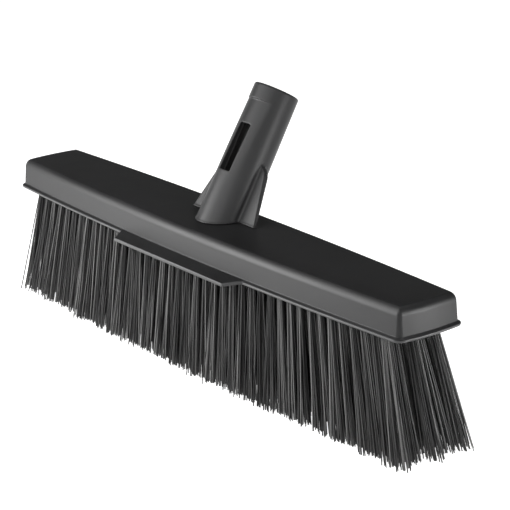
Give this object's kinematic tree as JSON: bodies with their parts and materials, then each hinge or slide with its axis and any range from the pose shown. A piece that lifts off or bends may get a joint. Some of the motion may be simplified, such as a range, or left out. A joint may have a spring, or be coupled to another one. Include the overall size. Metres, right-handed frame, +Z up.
{
  "type": "push broom head",
  "caption": "Wide push broom head with a bowed hollow cover, scraper ledge, rows of stiff bristle tufts and a tilted handle socket with two side wings.",
  "frame": {"origin": "middle of the plane of the bristle tips, at the middle of the head's length and width", "axes": "+X along the head, -Y the side with the scraper ledge, +Y the side that the handle socket leans to, +Z up from the tips"},
  "size_m": [0.4136, 0.1016, 0.1774],
  "materials": {
    "cover_plastic": "fine-grained satin moulded plastic, black",
    "socket_plastic": "fine-grained satin moulded plastic, black",
    "block_plastic": "plain moulded plastic, black",
    "bristle_filament": "stiff drawn plastic filament, black, low sheen",
    "wire_steel": "drawn galvanised wire",
    "screw_steel": "zinc-plated steel"
  },
  "bodies": {
    "root": {"cover_shell": "cover_plastic", "handle_socket": "socket_plastic", "bristle_block": "block_plastic", "bristle_row_1": "bristle_filament", "bristle_row_2": "bristle_filament", "bristle_row_3": "bristle_filament", "bristle_row_4": "bristle_filament", "bristle_row_5": "bristle_filament", "stitch_wire_1": "wire_steel", "stitch_wire_2": "wire_steel", "stitch_wire_3": "wire_steel", "stitch_wire_4": "wire_steel", "stitch_wire_5": "wire_steel", "block_screw_1": "screw_steel", "block_screw_2": "screw_steel", "block_screw_3": "screw_steel", "block_screw_4": "screw_steel", "block_screw_5": "screw_steel", "block_screw_6": "screw_steel", "socket_screw_1": "screw_steel", "socket_screw_2": "screw_steel", "socket_screw_3": "screw_steel", "socket_screw_4": "screw_steel"}
  },
  "joints": []
}
